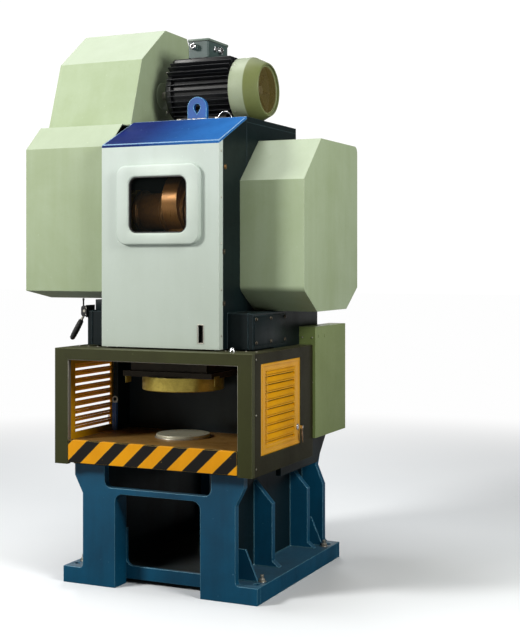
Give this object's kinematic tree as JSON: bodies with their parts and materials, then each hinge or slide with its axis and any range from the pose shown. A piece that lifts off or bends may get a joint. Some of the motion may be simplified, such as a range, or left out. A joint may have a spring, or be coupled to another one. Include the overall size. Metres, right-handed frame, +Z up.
{
  "type": "mechanical stamping press",
  "caption": "Free-standing C-frame mechanical stamping press with a crank-driven slide, belt drive, motor, guards, louvred side doors and a bed in a box enclosure.",
  "frame": {"origin": "floor point in the middle of the four anchor holes of the foot rails", "axes": "+Z up, +X to the operator's right, +Y from the operator's side to the back"},
  "size_m": [1.637, 1.282, 3.125],
  "materials": {
    "frame_paint": "enamel, worn to a light edge",
    "head_paint": "dark enamel",
    "roof_paint": "bright enamel",
    "cover_paint": "satin enamel",
    "guard_paint": "satin enamel",
    "enclosure_paint": "satin enamel",
    "door_paint": "gloss enamel",
    "hazard_paint": "yellow and black stripes",
    "bare_steel": "ground",
    "oiled_steel": "oiled, browned",
    "bright_chrome": "plated",
    "grille_wire": "lacquered wire mesh",
    "gasket_rubber": "moulded",
    "cast_iron": "machined casting",
    "brass": "turned",
    "motor_paint": "matt",
    "cowl_paint": "satin enamel",
    "lever_black": "moulded",
    "belt_rubber": "moulded",
    "pane_glass": "clear",
    "block_paint": "enamel"
  },
  "bodies": {
    "root": {"base_floor_plate": "frame_paint", "base_front_plate": "frame_paint", "base_rear_plate": "frame_paint", "base_ribs": "frame_paint", "base_side_wall_left": "frame_paint", "base_side_wall_right": "frame_paint", "base_tie_plate": "frame_paint", "bed_block": "frame_paint", "bed_disc": "bare_steel", "belt_guard": "guard_paint", "bolster_plate": "cast_iron", "c_frame_left": "head_paint", "c_frame_right": "head_paint", "corner_gussets": "frame_paint", "crank_bearings": "brass", "drum_guard": "guard_paint", "enclosure_front": "enclosure_paint", "enclosure_side_left": "enclosure_paint", "enclosure_side_right": "enclosure_paint", "enclosure_top": "enclosure_paint", "fan_cowl": "cowl_paint", "foot_rails": "frame_paint", "front_cover": "cover_paint", "hazard_bar": "hazard_paint", "head_back_plate": "head_paint", "head_roof": "roof_paint", "head_side_left": "head_paint", "head_side_right": "head_paint", "head_top_plate": "head_paint", "lever_clevis": "lever_black", "lifting_lug": "roof_paint", "motor_housing": "motor_paint", "safety_block": "block_paint", "shaft_bearings": "cast_iron", "shoulder_plates": "head_paint", "side_cabinet": "guard_paint", "slide_guides": "cast_iron", "terminal_box": "cowl_paint", "throat_plate": "head_paint", "v_belts": "belt_rubber", "wheel_guard": "guard_paint", "window_frame": "cover_paint", "window_pane": "pane_glass"},
    "crank": {"crankshaft": "oiled_steel", "main_gear": "oiled_steel"},
    "rod": {"connecting_rod": "cast_iron", "rod_screw": "bare_steel"},
    "drive": {"pinion_shaft": "oiled_steel", "flywheel": "cast_iron", "brake_drum": "cast_iron"},
    "motor_spin": {"motor_rotor": "bare_steel", "motor_fan": "cast_iron", "motor_pulley": "cast_iron"},
    "ram": {"slide": "cast_iron", "ram_ring": "brass"},
    "door_left": {"side_door_left": "door_paint"},
    "door_right": {"side_door_right": "door_paint"},
    "lock_left": {"door_lock_left": "bright_chrome"},
    "lock_right": {"door_lock_right": "bright_chrome"},
    "lever": {"hand_lever": "lever_black"}
  },
  "joints": [
    {"name": "crank_turn", "type": "hinge", "parent": "root", "child": "crank", "pos_m": [0, -0.285, 2.03], "axis": [1, 0, 0], "continuous": true},
    {"name": "rod_pin_turn", "type": "hinge", "parent": "crank", "child": "rod", "pos_m": [0, -0.285, 2.07], "axis": [1, 0, 0], "continuous": true},
    {"name": "drive_shaft_turn", "type": "hinge", "parent": "root", "child": "drive", "pos_m": [0, 0.015, 2.03], "axis": [1, 0, 0], "continuous": true},
    {"name": "motor_turn", "type": "hinge", "parent": "root", "child": "motor_spin", "pos_m": [0, 0.12, 2.73], "axis": [1, 0, 0], "continuous": true},
    {"name": "ram_travel", "type": "slide", "parent": "root", "child": "ram", "axis": [0, 0, 1], "range_m": [-0.08, 0]},
    {"name": "left_door_swing", "type": "hinge", "parent": "root", "child": "door_left", "pos_m": [-0.58, -0.538, 1], "axis": [0, 0, 1], "range_deg": [0, 95]},
    {"name": "right_door_swing", "type": "hinge", "parent": "root", "child": "door_right", "pos_m": [0.58, -0.538, 1], "axis": [0, 0, -1], "range_deg": [0, 95]},
    {"name": "left_lock_turn", "type": "hinge", "parent": "door_left", "child": "lock_left", "pos_m": [-0.58, -0.06, 0.85], "axis": [1, 0, 0], "range_deg": [0, 90]},
    {"name": "right_lock_turn", "type": "hinge", "parent": "door_right", "child": "lock_right", "pos_m": [0.58, -0.06, 0.85], "axis": [1, 0, 0], "range_deg": [0, 90]},
    {"name": "hand_lever_swing", "type": "hinge", "parent": "root", "child": "lever", "pos_m": [-0.535, -0.43, 1.478], "axis": [0, 1, 0], "range_deg": [-20, 30]}
  ],
  "couplings": [
    {"joint": "rod_pin_turn", "follows": "crank_turn", "ratio": -1},
    {"joint": "drive_shaft_turn", "follows": "crank_turn", "ratio": -2},
    {"joint": "motor_turn", "follows": "crank_turn", "ratio": -9.561}
  ]
}
